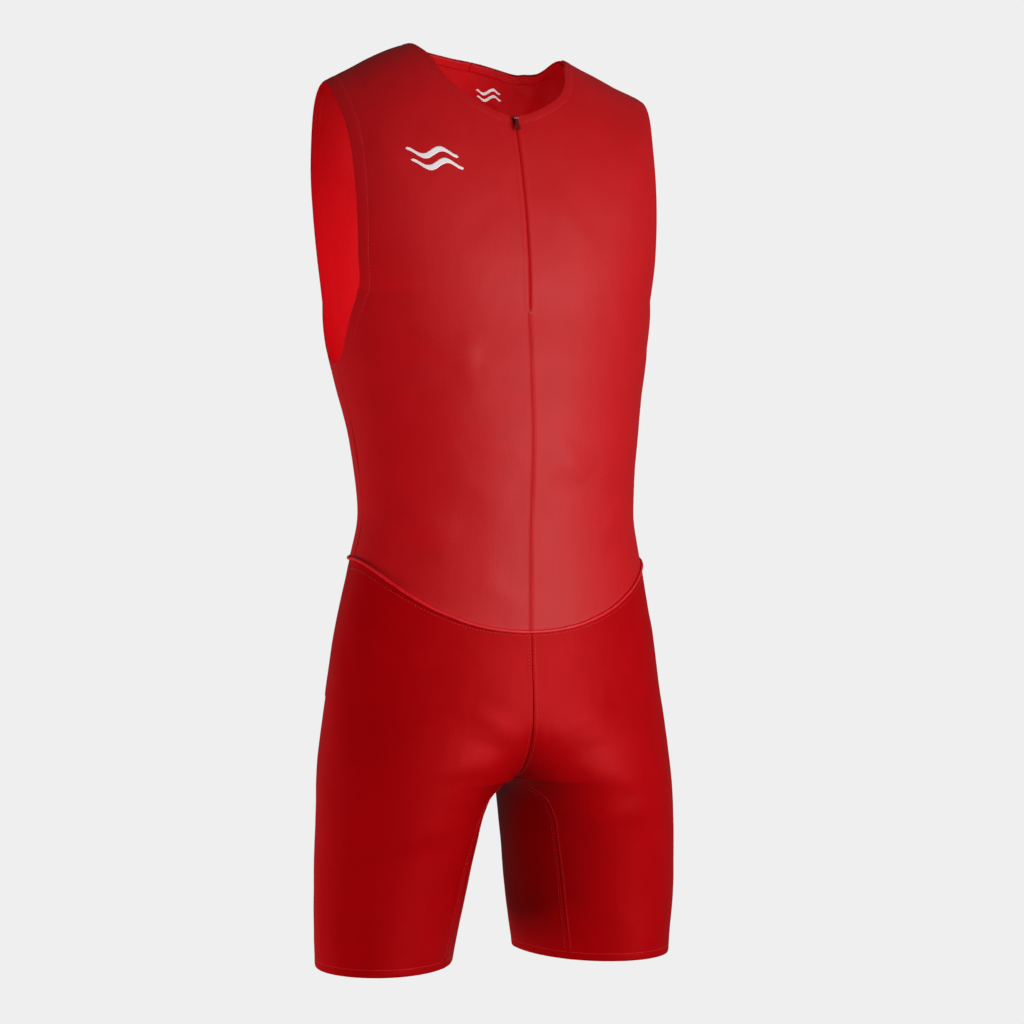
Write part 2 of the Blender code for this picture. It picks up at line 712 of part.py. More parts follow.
def make_zip(collection, cutters, look):
    frame = slider_frame()
    slider, tools, pin = make_slider(collection, cutters, look)
    for piece in [slider] + tools:
        piece.matrix_world = frame
    hinge = bpy.data.objects.new("pull_hinge", None)
    collection.objects.link(hinge)
    hinge.matrix_world = Matrix.Translation(frame @ pin)
    tab, tools = make_pull(collection, cutters, look)
    lean = frame.to_3x3().to_4x4() @ Matrix.Rotation(-math.radians(PULL_LEAN), 4, "X")
    for piece in [tab] + tools:
        piece.parent = hinge
        piece.matrix_local = lean


def main():
    for old in list(bpy.data.objects):
        bpy.data.objects.remove(old, do_unlink=True)
    suit = bpy.data.collections.new("triathlon_suit")
    cutters = bpy.data.collections.new("cutters")
    for collection in (suit, cutters):
        bpy.context.scene.collection.children.link(collection)
    bodice = material("bodice_knit", BODICE_RED, 0.55)
    shorts = material("shorts_knit", SHORTS_RED, 0.42)
    trim = material("trim_tape", TRIM_RED, 0.6)
    painted = material("painted_zinc", METAL_RED, 0.35)
    make_bodice(suit, bodice)
    make_legs(suit, shorts)
    make_neck_band(suit, bodice)
    make_waist_piping(suit, shorts)
    make_zip_tapes(suit, trim)
    make_zip(suit, cutters, painted)


main()
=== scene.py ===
import math
import bpy
import numpy as np
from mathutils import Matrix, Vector, noise
from mathutils.bvhtree import BVHTree


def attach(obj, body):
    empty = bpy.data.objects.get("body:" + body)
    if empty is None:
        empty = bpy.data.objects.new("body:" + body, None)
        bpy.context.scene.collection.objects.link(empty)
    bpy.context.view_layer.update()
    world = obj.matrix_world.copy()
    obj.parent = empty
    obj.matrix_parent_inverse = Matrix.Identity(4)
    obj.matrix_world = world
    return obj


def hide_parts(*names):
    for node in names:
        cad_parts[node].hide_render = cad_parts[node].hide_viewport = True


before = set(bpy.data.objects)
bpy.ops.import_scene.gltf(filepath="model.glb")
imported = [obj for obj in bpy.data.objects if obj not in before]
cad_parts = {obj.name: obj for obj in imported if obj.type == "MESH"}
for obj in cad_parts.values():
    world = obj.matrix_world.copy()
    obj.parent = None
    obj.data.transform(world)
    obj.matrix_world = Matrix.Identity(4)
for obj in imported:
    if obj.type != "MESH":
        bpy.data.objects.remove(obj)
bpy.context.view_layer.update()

scene = bpy.context.scene
mm = 0.001
nearly = 0.1 * mm    # a margin when rows are picked by height
print("suit frame loaded")


# small helpers

def linearColour(hexValue):
    channels = [int(hexValue[i:i + 2], 16) / 255 for i in (1, 3, 5)]
    return tuple(c / 12.92 if c <= 0.04045 else ((c + 0.055) / 1.055) ** 2.4 for c in channels) + (1.0,)


def smooth(value, low, high):
    t = np.clip((value - low) / (high - low), 0, 1)
    return t * t * (3 - 2 * t)


def rowValue(table, name, at):  # a smooth curve through one column of a table, with no overshoot
    column = table["columns"].index(name)
    rows = sorted(table["rows"])
    xs = np.array([row[0] for row in rows], float)
    ys = np.array([row[column] for row in rows], float)
    steps = np.diff(ys) / np.diff(xs)
    slopes = np.gradient(ys, xs)
    for i in range(1, len(xs) - 1):
        if steps[i - 1] * steps[i] <= 0:
            slopes[i] = 0.0
        else:
            limit = 3 * min(abs(steps[i - 1]), abs(steps[i]))
            slopes[i] = math.copysign(min(abs(slopes[i]), limit), steps[i])
    if table.get("levelEnds"):
        slopes[-1] = 0.0
    at = np.clip(at, xs[0], xs[-1])
    i = np.clip(np.searchsorted(xs, at) - 1, 0, len(xs) - 2)
    width = xs[i + 1] - xs[i]
    t = (at - xs[i]) / width
    return ((2 * t**3 - 3 * t**2 + 1) * ys[i] + (t**3 - 2 * t**2 + t) * width * slopes[i]
            + (3 * t**2 - 2 * t**3) * ys[i + 1] + (t**3 - t**2) * width * slopes[i + 1])


def lengthsAlong(path):
    steps = np.linalg.norm(np.diff(path, axis=0), axis=1)
    return np.concatenate([[0.0], np.cumsum(steps)])


def pointsAt(path, at):
    along = lengthsAlong(path)
    return np.column_stack([np.interp(at, along, path[:, k]) for k in range(path.shape[1])])


# the suit's outer face, the same sections as the frame's solids

suit = {
    "cloth": 1.2 * mm,
    "trim": 0.9 * mm,
    "gap": 0.3 * mm,
    "chestZ": -0.250,
    "crotchZ": -0.716,
    "crotchY": -0.070,
    "hipZ": -0.618,
    "hemZ": -0.900,
    "waist": {"front": -0.573, "side": -0.505, "back": -0.496},
    "neckRise": {"front": 0.50, "back": 0.74},
    "riseHeight": {"front": 0.065, "back": 0.076},
    "zipEnd": -0.268,
}

torso = {
    "columns": ("z", "halfWidth", "front", "side", "back", "frontSquare", "backSquare"),
    "levelEnds": True,
    "rows": (
        (-0.250, 0.1650, -0.126, -0.002, 0.118, 2.35, 2.90),
        (-0.320, 0.1560, -0.133, -0.010, 0.104, 2.20, 2.50),
        (-0.390, 0.1440, -0.138, -0.025, 0.086, 2.15, 2.30),
        (-0.460, 0.1385, -0.133, -0.033, 0.074, 2.10, 2.20),
        (-0.520, 0.1490, -0.131, -0.031, 0.082, 2.10, 2.20),
        (-0.580, 0.1610, -0.131, -0.030, 0.096, 2.10, 2.20),
        (-0.640, 0.1690, -0.136, -0.030, 0.106, 2.10, 2.20),
    ),
}

yoke = {"halfWidth": 0.186, "side": 0.0, "square": 3.5, "round": {"front": 1.65, "back": 2.05},
        "crest": 0.012, "crestFall": 1.85}

leg = {
    "columns": ("z", "xOut", "yOut", "xFront", "yFront", "xIn", "yIn", "xBack", "yBack",
                "square", "inseam"),
    "rows": (
        (-0.640, 0.1690, -0.030, 0.000, -0.1360, 0.0002, -0.070, 0.000, 0.1060, 2.10, 0),
        (-0.680, 0.1735, -0.031, 0.050, -0.1350, 0.0002, -0.070, 0.050, 0.1030, 2.10, 0),
        (-0.716, 0.1770, -0.032, 0.080, -0.1300, 0.0002, -0.070, 0.078, 0.0900, 2.10, 0),
        (-0.722, 0.1775, -0.032, 0.083, -0.1290, 0.0050, -0.052, 0.078, 0.0888, 2.10, 18),
        (-0.732, 0.1783, -0.033, 0.087, -0.1268, 0.0105, -0.032, 0.078, 0.0868, 2.10, 34),
        (-0.750, 0.1796, -0.034, 0.094, -0.1222, 0.0155, -0.017, 0.079, 0.0830, 2.10, 42),
        (-0.785, 0.1816, -0.035, 0.104, -0.1125, 0.0200, -0.004, 0.080, 0.0765, 2.05, 45),
        (-0.840, 0.1833, -0.033, 0.114, -0.1000, 0.0270, 0.010, 0.083, 0.0695, 2.00, 47),
        (-0.900, 0.1805, -0.027, 0.121, -0.0900, 0.0370, 0.018, 0.087, 0.0670, 2.00, 48),
    ),
}

armhole = {  # degrees round the section; the level is metres below the chest or the rise above it
    "columns": ("level", "front", "back"),
    "rows": (
        (-0.066, 90.0, 90.0),
        (-0.060, 84.5, 81.0),
        (-0.045, 78.0, 71.0),
        (-0.025, 71.5, 64.0),
        (0.000, 65.0, 60.0),
        (0.150, 61.0, 62.0),
        (0.350, 56.5, 63.0),
        (0.550, 54.0, 60.5),
        (0.750, 56.0, 59.0),
        (1.000, 57.0, 57.0),
    ),
}

neckline = {
    "front": {"columns": ("rise", "angle"),
              "rows": ((0.50, 0.0), (0.55, 4.1), (0.61, 7.8), (0.68, 9.9), (0.76, 10.8), (0.84, 12.2),
                       (1.0, 13.5))},
    "back": {"columns": ("rise", "angle"),
             "rows": ((0.74, 0.0), (0.76, 4.0), (0.80, 7.0), (0.88, 10.5), (1.0, 13.5))},
}

yokeRows = {  # rises of a row at its inner end, which climbs the neckline, and at the armhole
    "front": ((0.0, 0.0), (0.12, 0.12), (0.25, 0.25), (0.37, 0.36), (0.45, 0.45), (0.50, 0.52),
              (0.52, 0.58), (0.545, 0.64), (0.58, 0.69), (0.64, 0.74), (0.71, 0.79), (0.79, 0.85),
              (0.89, 0.92), (0.998, 0.998)),
    "back": ((0.0, 0.0), (0.12, 0.12), (0.25, 0.25), (0.38, 0.37), (0.50, 0.48), (0.60, 0.57),
             (0.68, 0.64), (0.74, 0.70), (0.744, 0.75), (0.752, 0.80), (0.766, 0.84), (0.792, 0.88),
             (0.85, 0.92), (0.92, 0.96), (0.998, 0.998)),
}

lean = {  # the shoulders don't hang quite alike: lift of the shoulder line and of the back neck edge
    "columns": ("x", "shoulder", "backNeck"),
    "rows": (
        (-0.200, 0.0006, 0.0000),
        (-0.145, -0.0007, 0.0000),
        (-0.125, 0.0009, 0.0005),
        (-0.100, 0.0026, 0.0020),
        (-0.080, 0.0028, 0.0030),
        (-0.045, 0.0015, 0.0110),
        (-0.015, 0.0000, 0.0090),
        (0.000, 0.0000, 0.0075),
        (0.030, -0.0008, 0.0016),
        (0.053, -0.0020, -0.0040),
        (0.067, -0.0028, -0.0070),
        (0.081, -0.0034, -0.0030),
        (0.100, -0.0055, 0.0000),
        (0.130, -0.0058, 0.0000),
        (0.164, -0.0009, 0.0000),
        (0.200, 0.0000, 0.0000),
    ),
}


def bodyPoints(face, angle, level):  # angle 0 is the centre of the face, 90 degrees is the side
    z = suit["chestZ"] + np.minimum(level, 0)
    turn = np.maximum(level, 0) * math.pi / 2
    up = np.sin(turn)
    width, side, middle, square = (rowValue(torso, name, z)
                                   for name in ("halfWidth", "side", face, face + "Square"))
    power = 2 / (square + (yoke["square"] - square) * up)
    over = 2 / yoke["round"][face]
    x = (width + (yoke["halfWidth"] - width) * up) * np.sin(angle) ** power
    depth = (middle - side) * np.abs(np.cos(angle)) ** power
    crest = yoke["crest"] - yoke["crestFall"] * x**2
    y = side + (yoke["side"] - side) * up + depth * np.maximum(np.cos(turn), 0) ** over
    z = np.where(level > 0, suit["chestZ"] + (crest - suit["chestZ"]) * up ** over, z)
    return np.column_stack([x, y, z])


def atX(face, x, level):  # the point at a distance x from the centre plane
    z = suit["chestZ"] + min(level, 0)
    up = math.sin(max(level, 0) * math.pi / 2)
    width = rowValue(torso, "halfWidth", z)
    square = rowValue(torso, face + "Square", z)
    width += (yoke["halfWidth"] - width) * up
    square += (yoke["square"] - square) * up
    angle = math.asin(min(1.0, (abs(x) / width) ** (square / 2)))
    point = bodyPoints(face, np.array([angle]), np.array([level]))[0]
    return np.array([x, point[1], point[2]])


def waistSeamZ(face, angle):
    middle = suit["waist"][face]
    return middle + (suit["waist"]["side"] - middle) * np.sin(angle) ** 2


def quadrant(xMid, yMid, xEnd, yEnd, square, first=0.0, last=90.0):
    t = np.radians(np.linspace(first, last, 91))
    x = xMid + (xEnd - xMid) * np.cos(t) ** (2 / square)
    y = yEnd + (yMid - yEnd) * np.sin(t) ** (2 / square)
    return np.column_stack([x, y])


def cutQuadrant(s, face, z):  # above the crotch a leg's inner quadrant ends at the centre plane
    xMid, yMid = s["x" + face], s["y" + face]
    share = min(1.0, (z - suit["crotchZ"]) / suit["riseHeight"][face.lower()])
    yCut = suit["crotchY"] + (yMid - suit["crotchY"]) * math.sqrt(1 - (1 - share) ** 2)
    share = min(0.9999, (yCut - s["yIn"]) / (yMid - s["yIn"]))
    reach = (1 - share ** s["square"]) ** (1 / s["square"])
    first = math.degrees(math.asin(share ** (s["square"] / 2)))
    return quadrant(xMid, yMid, xMid - xMid / reach, s["yIn"], s["square"], first)


def legSection(z):  # front and back half, each an inner and an outer quadrant
    s = {name: float(rowValue(leg, name, z)) for name in leg["columns"]}
    halves = []
    for face in ("Front", "Back"):
        if z > suit["crotchZ"]:
            inner = cutQuadrant(s, face, z)
        elif face == "Front":
            inner = quadrant(s["xFront"], s["yFront"], s["xIn"], s["yIn"], s["square"], s["inseam"])
        else:
            past = quadrant(s["xFront"], s["yFront"], s["xIn"], s["yIn"], s["square"], 0, s["inseam"])
            inner = np.concatenate([past[:0:-1], quadrant(s["xBack"], s["yBack"], s["xIn"], s["yIn"],
                                                          s["square"])])
        outer = quadrant(s["x" + face], s["y" + face], s["xOut"], s["yOut"], s["square"])[::-1]
        halves.append((inner, outer))
    return halves


# grids fine enough for creases, closer together where a seam or a turned edge lies

grid = {
    "edgeSteps": (0, 0.6, 1.3, 2.2, 3.4, 5.0, 6.6, 7.6, 8.4, 9.4, 11.0, 12.2, 13.6),  # mm from an edge
    "halfColumns": 46,
    "legColumns": 74,
    "bodyStep": 3.4 * mm,
    "yokeSplit": 7,        # fine rows for each row of yokeRows
    "legStep": 3.2 * mm,
    "samples": 181,        # points along a section before it is spread out
    "armRows": 24,
    "legRows": 54,
    "crowding": 1.35,      # draws the rows together near the crotch
}


def columnPlaces(length, count):
    near = np.array(grid["edgeSteps"]) * mm
    near = near * min(1.0, 0.45 * length / near[-1])
    middle = np.linspace(near[-1], length - near[-1], count)[1:-1]
    return np.concatenate([near, middle, length - near[::-1]])


def stepsFromEdge(total, step):  # shares of a length, close together near its start
    near = np.array(grid["edgeSteps"]) * mm
    rest = np.linspace(near[-1], total, int((total - near[-1]) / step) + 1)[1:]
    return np.concatenate([near, rest]) / total


def bodiceHalf(face):
    angles = np.linspace(0, 1, grid["samples"])
    base = armhole["rows"][0][0]
    rows = []
    seam = waistSeamZ(face, angles * math.pi / 2) - suit["chestZ"]
    for t in stepsFromEdge(base - seam.mean(), grid["bodyStep"]):
        path = bodyPoints(face, angles * math.pi / 2, seam * (1 - t) + base * t)
        rows.append(path)
    for level in np.linspace(base, 0, grid["armRows"])[1:]:
        last = math.radians(float(rowValue(armhole, face, level)))
        rows.append(bodyPoints(face, angles * last, np.full(len(angles), level)))
    pairs = np.array(yokeRows[face])
    at = np.linspace(0, len(pairs) - 1, (len(pairs) - 1) * grid["yokeSplit"] + 1)[1:]
    for inner, outer in zip(*(np.interp(at, range(len(pairs)), pairs[:, k]) for k in (0, 1))):
        first = 0.0
        if inner > suit["neckRise"][face]:
            first = math.radians(float(rowValue(neckline[face], "angle", inner)))
        last = math.radians(float(rowValue(armhole, face, outer)))
        rows.append(bodyPoints(face, first + (last - first) * angles, inner + (outer - inner) * angles))
    fine = np.array([pointsAt(p, columnPlaces(lengthsAlong(p)[-1], grid["halfColumns"])) for p in rows])
    fine[..., 0] = np.maximum(fine[..., 0], suit["gap"] / 2 if face == "front" else 0)
    return fine


def legGrid():
    angles = np.linspace(0, math.pi / 2, grid["samples"])
    rows = []
    total = -suit["hipZ"] - 0.54
    for t in stepsFromEdge(total, grid["legStep"]):
        halves = [bodyPoints(face, angles, waistSeamZ(face, angles) * (1 - t) + suit["hipZ"] * t
                             - suit["chestZ"]) for face in ("front", "back")]
        rows.append([halfColumns(path, 0.5) for path in halves])
    above = suit["hipZ"] - suit["crotchZ"]
    curve = np.linspace(0, 1, int(above / grid["legStep"]) + 10)[1:]
    levels = list(suit["hipZ"] - above * (1 - (1 - curve) ** grid["crowding"]))
    below = suit["crotchZ"] - suit["hemZ"]
    near = np.array(grid["edgeSteps"][::-1]) * mm
    shares = np.linspace(0, 1, grid["legRows"])[1:-1] ** grid["crowding"]
    levels += list(suit["crotchZ"] - (below - near[0]) * shares)
    levels += list(suit["hemZ"] + near)
    top = leg["rows"][0][0]
    for z in levels:
        if z > top:
            halves = [bodyPoints(face, angles, np.full(len(angles), z - suit["chestZ"]))
                      for face in ("front", "back")]
            rows.append([halfColumns(path, 0.5) for path in halves])
            continue
        down = min(1.0, (top - z) / (top - suit["crotchZ"]))
        row = []
        for inner, outer in legSection(z):
            innerLength, outerLength = lengthsAlong(inner)[-1], lengthsAlong(outer)[-1]
            share = innerLength / (innerLength + outerLength)
            flat = np.concatenate([inner, outer[1:]])
            path = np.column_stack([flat, np.full(len(flat), z)])
            row.append(halfColumns(path, 0.5 + (share - 0.5) * smooth(down, 0, 1)))
        rows.append(row)
    fine = np.array([np.concatenate([front, back[-2::-1]]) for front, back in rows])
    fine[..., 0] = np.maximum(fine[..., 0], suit["gap"] / 2)
    return fine


def halfColumns(path, middle):  # the middle column is at this share of the half's length
    total = lengthsAlong(path)[-1]
    near = np.array(grid["edgeSteps"]) * mm
    rest = np.linspace(0, 1, grid["legColumns"])[1:]
    start = near[-1] / total
    shares = np.interp(start + (1 - start) * rest, (start, start + (1 - start) * 0.5, 1),
                       (start, max(middle, start + 0.05), 1))
    return pointsAt(path, np.concatenate([near, shares * total]))


def sheetNormals(points, outward):
    across = np.gradient(points, axis=1)
    up = np.gradient(points, axis=0)
    normal = np.cross(across, up)
    normal /= np.maximum(np.linalg.norm(normal, axis=-1, keepdims=True), 1e-12)
    return normal * outward


def leanOver(points):
    x, y, z = points[..., 0], points[..., 1], points[..., 2]
    lift = rowValue(lean, "shoulder", x) * smooth(z, -0.12, -0.035)
    lift += rowValue(lean, "backNeck", x) * smooth(y, 0.004, 0.03) * smooth(z, -0.085, -0.02)
    moved = points.copy()
    moved[..., 2] += lift
    return moved


# creases, in metres on the front or back as seen from the front: start x and z, end x and z,
# half width, height (a trough is negative) and how far the middle bows sideways

creaseColumns = ("x0", "z0", "x1", "z1", "width", "height", "bow")
creases = {
    "front": (
        (-0.112, -0.292, -0.050, -0.312, 0.012, 0.0016, 0.004),
        (-0.105, -0.318, -0.045, -0.330, 0.014, -0.0012, 0.003),
        (-0.060, -0.290, -0.054, -0.362, 0.011, 0.0013, 0.003),
        (0.020, -0.388, 0.060, -0.425, 0.013, 0.0014, 0.004),
        (0.015, -0.430, 0.075, -0.452, 0.012, -0.0011, -0.003),
        (-0.085, -0.420, -0.020, -0.452, 0.016, 0.0011, 0.005),
        (-0.120, -0.455, -0.070, -0.480, 0.012, 0.0014, 0.003),
        (-0.130, -0.485, -0.085, -0.500, 0.010, -0.0013, 0.002),
        (0.080, -0.470, 0.128, -0.452, 0.011, 0.0014, -0.003),
        (0.075, -0.498, 0.126, -0.482, 0.010, -0.0012, -0.003),
        (-0.155, -0.300, -0.105, -0.350, 0.012, 0.0013, 0.004),
        (0.150, -0.298, 0.102, -0.340, 0.012, 0.0013, -0.004),
        (-0.135, -0.085, -0.100, -0.170, 0.013, 0.0011, 0.005),
        (0.130, -0.080, 0.105, -0.180, 0.014, 0.0012, -0.004),
        (-0.020, -0.160, -0.070, -0.205, 0.013, -0.0008, 0.003),
        (0.025, -0.150, 0.072, -0.210, 0.012, 0.0009, 0.004),
        (-0.050, -0.520, -0.010, -0.548, 0.010, 0.0009, 0.002),
    ),
    "back": (
        (-0.110, -0.430, -0.020, -0.450, 0.013, 0.0019, 0.005),
        (-0.095, -0.462, 0.010, -0.474, 0.012, -0.0015, 0.004),
        (0.000, -0.440, 0.105, -0.425, 0.014, 0.0018, -0.004),
        (0.020, -0.472, 0.118, -0.455, 0.011, -0.0014, -0.005),
        (-0.150, -0.300, -0.085, -0.355, 0.013, 0.0016, 0.005),
        (0.148, -0.305, 0.080, -0.365, 0.014, 0.0016, -0.006),
        (-0.080, -0.110, -0.120, -0.230, 0.015, 0.0014, 0.006),
        (0.085, -0.105, 0.118, -0.240, 0.014, 0.0014, -0.005),
        (-0.030, -0.200, 0.005, -0.330, 0.018, -0.0012, 0.004),
        (0.040, -0.240, 0.020, -0.380, 0.016, 0.0010, 0.003),
    ),
    "shorts": (
        (-0.020, -0.668, -0.085, -0.640, 0.010, 0.0015, 0.004),
        (-0.016, -0.690, -0.110, -0.668, 0.010, -0.0013, 0.005),
        (-0.022, -0.705, -0.130, -0.705, 0.012, 0.0015, 0.005),
        (0.018, -0.672, 0.090, -0.648, 0.010, 0.0014, -0.004),
        (0.020, -0.698, 0.118, -0.682, 0.011, -0.0012, -0.005),
        (0.024, -0.712, 0.125, -0.722, 0.012, 0.0015, -0.004),
        (-0.060, -0.755, -0.150, -0.778, 0.012, 0.0012, 0.003),
        (0.065, -0.760, 0.150, -0.742, 0.012, 0.0012, -0.003),
        (-0.155, -0.560, -0.100, -0.610, 0.014, 0.0012, 0.004),
        (0.152, -0.565, 0.105, -0.615, 0.014, 0.0011, -0.004),
    ),
    "seat": (
        (-0.020, -0.665, -0.120, -0.630, 0.012, 0.0016, 0.006),
        (0.020, -0.660, 0.115, -0.635, 0.012, 0.0016, -0.006),
        (-0.025, -0.700, -0.140, -0.690, 0.012, 0.0022, 0.006),
        (0.022, -0.702, 0.135, -0.694, 0.012, 0.0021, -0.005),
        (-0.030, -0.722, -0.140, -0.722, 0.010, -0.0016, 0.003),
        (0.030, -0.724, 0.138, -0.718, 0.010, -0.0016, 0.003),
        (-0.050, -0.780, -0.150, -0.800, 0.013, 0.0012, 0.003),
        (0.055, -0.790, 0.145, -0.776, 0.013, 0.0012, 0.003),
    ),
}


def creaseHeight(points, rows):
    x, z = points[..., 0], points[..., 2]
    total = np.zeros(x.shape)
    for row in rows:
        c = dict(zip(creaseColumns, row))
        dx, dz = c["x1"] - c["x0"], c["z1"] - c["z0"]
        length = math.hypot(dx, dz)
        t = ((x - c["x0"]) * dx + (z - c["z0"]) * dz) / length**2
        inside = np.clip(t, 0, 1)
        off = ((x - c["x0"]) * dz - (z - c["z0"]) * dx) / length - c["bow"] * np.sin(math.pi * inside)
        fade = np.sin(math.pi * inside) ** 0.7 * ((t > 0) & (t < 1))
        total += c["height"] * np.exp(-(off / c["width"]) ** 2) * fade
    return total


unevenness = {"size": 45 * mm, "height": 0.7 * mm, "crinkleSize": 11 * mm, "crinkleHeight": 0.16 * mm}


def softUneven(points, seed):
    flat = points.reshape(-1, 3)
    size, crinkle = unevenness["size"], unevenness["crinkleSize"]
    heights = [noise.noise(Vector((p[0] / size + seed, p[1] / size, p[2] / size))) * unevenness["height"]
               + noise.noise(Vector((p[0] / crinkle, p[1] / crinkle, p[2] / (1.6 * crinkle) + seed)))
               * unevenness["crinkleHeight"] for p in flat]
    return np.array(heights).reshape(points.shape[:2])


def edgeDistance(points, line):
    flat = points.reshape(-1, 3)
    best = np.full(len(flat), 1.0)
    for part in np.array_split(line, max(1, len(line) // 24)):
        best = np.minimum(best, np.linalg.norm(flat[:, None] - part[None], axis=2).min(axis=1))
    return best.reshape(points.shape[:2])


def turnedEdge(distance, width, rise=0.22 * mm, groove=0.16 * mm):
    plateau = rise * (1 - smooth(distance, width - 1.2 * mm, width + 0.2 * mm))
    roll = -0.35 * mm * np.exp(-(distance / (0.8 * mm)) ** 2)
    return plateau + roll - groove * np.exp(-((distance - width) / (1.3 * mm)) ** 2)


# making pieces

def makeMesh(name, points, faces, material):
    mesh = bpy.data.meshes.new(name)
    mesh.from_pydata([tuple(p) for p in points], [], faces)
    mesh.shade_smooth()
    mesh.materials.append(material)
    made = bpy.data.objects.new(name, mesh)
    scene.collection.objects.link(made)
    return made


def gridFaces(rows, columns, flip, first=0):
    faces = []
    for j in range(rows - 1):
        for i in range(columns - 1):
            a = first + j * columns + i
            quad = (a, a + 1, a + columns + 1, a + columns)
            faces.append(quad[::-1] if flip else quad)
    return faces


def makeCloth(name, sheets, material, thickness, weld=False):  # sheets of (points, flip)
    points, faces = [], []
    for sheet, flip in sheets:
        rows, columns = sheet.shape[:2]
        faces += gridFaces(rows, columns, flip, len(points))
        points += list(sheet.reshape(-1, 3))
    made = makeMesh(name, points, faces, material)
    if weld:
        join = made.modifiers.new("join", "WELD")
        join.merge_threshold = 0.02 * mm
    wall = made.modifiers.new("wall", "SOLIDIFY")
    wall.thickness = thickness
    wall.offset = -1.0
    return made


def facetTree(sheet):
    rows, columns = sheet.shape[:2]
    return BVHTree.FromPolygons([tuple(p) for p in sheet.reshape(-1, 3)], gridFaces(rows, columns, False))


def bead(sides=6):  # a rounded rod along X from -0.5 to 0.5, radius 1: points and faces
    points = [(-0.5, 0.0, 0.0)]
    for x, radius in ((-0.42, 0.7), (-0.22, 1.0), (0.22, 1.0), (0.42, 0.7)):
        turns = [2 * math.pi * k / sides for k in range(sides)]
        points += [(x, radius * math.cos(a), radius * math.sin(a)) for a in turns]
    points.append((0.5, 0.0, 0.0))
    faces = [(0, 1 + (k + 1) % sides, 1 + k) for k in range(sides)]
    for ring in range(3):
        a = 1 + ring * sides
        faces += [(a + k, a + (k + 1) % sides, a + sides + (k + 1) % sides, a + sides + k)
                  for k in range(sides)]
    last = 1 + 3 * sides
    faces += [(len(points) - 1, last + k, last + (k + 1) % sides) for k in range(sides)]
    return np.array(points), faces


def beadsAlong(path, normals, size, across=False):
    along = lengthsAlong(path)
    pitch = size["pitch"] if across else size["length"] + size["gap"]
    at = np.arange(pitch / 2, along[-1] - pitch / 2, pitch)
    here = pointsAt(path, at)
    normal = np.column_stack([np.interp(at, along, normals[:, k]) for k in range(3)])
    step = 0.5 * mm
    tangent = pointsAt(path, at + step) - pointsAt(path, at - step)
    tangent /= np.linalg.norm(tangent, axis=1, keepdims=True)
    normal /= np.linalg.norm(normal, axis=1, keepdims=True)
    side = np.cross(normal, tangent)
    if across:
        tangent, side = side, -tangent
    shape, shapeFaces = bead()
    points, faces = [], []
    for p, t, s, n in zip(here, tangent, side, normal):
        centre = p + n * size["lift"]
        base = len(points)
        points += list(centre + np.outer(shape[:, 0] * size["length"], t)
                       + np.outer(shape[:, 1] * size["radius"], s)
                       + np.outer(shape[:, 2] * size["radius"] * size.get("flat", 1.0), n))
        faces += [tuple(base + i for i in face) for face in shapeFaces]
    return points, faces


def makeBeads(name, runs, size, material, across=False):
    points, faces = [], []
    for path, normals in runs:
        morePoints, moreFaces = beadsAlong(path, normals, size, across)
        faces += [tuple(len(points) + i for i in face) for face in moreFaces]
        points += morePoints
    return makeMesh(name, points, faces, material)


# materials

def addNode(tree, kind, links=(), **settings):  # links are (socket name, socket that feeds it)
    made = tree.nodes.new(kind)
    for name, value in settings.items():
        if hasattr(made, name):
            setattr(made, name, value)
        else:
            made.inputs[name].default_value = value
    for name, source in links:
        tree.links.new(made.inputs[name], source)
    return made


def newMaterial(name, **shaderSettings):
    made = bpy.data.materials.new(name)
    made.use_nodes = True
    shader = made.node_tree.nodes["Principled BSDF"]
    for socket, value in shaderSettings.items():
        shader.inputs[socket].default_value = value
    return made, made.node_tree, shader


def bandScale(pitch):  # the wave texture's scale for bands this far apart
    return 2 * math.pi / 20 / pitch


def colourAndGrain(tree, shader, pattern, look):  # a pattern mixes two close colours and raises the face
    colour = addNode(tree, "ShaderNodeMix", [("Factor", pattern)], data_type="RGBA")
    colour.inputs["A"].default_value = linearColour(look["dark"])
    colour.inputs["B"].default_value = linearColour(look["light"])
    tree.links.new(shader.inputs["Base Color"], colour.outputs["Result"])
    if "bump" in look:
        strength, depth = look["bump"]
        bump = addNode(tree, "ShaderNodeBump", [("Height", pattern)], Strength=strength, Distance=depth)
        tree.links.new(shader.inputs["Normal"], bump.outputs["Normal"])


knits = {
    # interlock polyester with elastane, pigment dyed: dull, faintly mottled, a fine cross-wise grain
    "bodice": {"dark": "#ab0006", "light": "#b6010c", "wale": 1.1, "course": 0.9, "loops": 0.16,
               "Roughness": 0.58, "Specular IOR Level": 0.30, "Metallic": 0.0, "Sheen Weight": 0.03,
               "Sheen Roughness": 0.6},
    # warp-knitted nylon with elastane, calendered: a satin face that runs light into soft bands
    "shorts": {"dark": "#9c0003", "light": "#a80008", "wale": 0.9, "course": 0.8, "loops": 0.10,
               "Roughness": 0.50, "Specular IOR Level": 0.06, "Metallic": 0.10, "Sheen Weight": 0.0,
               "Sheen Roughness": 0.3},
    # the same satin cut as a bias strip and wrapped over a cord, its colour painted lighter than the
    # shorts: a painted highlight on the lit lip
    "paintedHighlightBinding": {"dark": "#c40a16", "light": "#d01622", "wale": 0.9, "course": 0.8, "loops": 0.10,
                "Roughness": 0.50, "Specular IOR Level": 0.30, "Metallic": 0.0, "Sheen Weight": 0.10,
                "Sheen Roughness": 0.4},
}


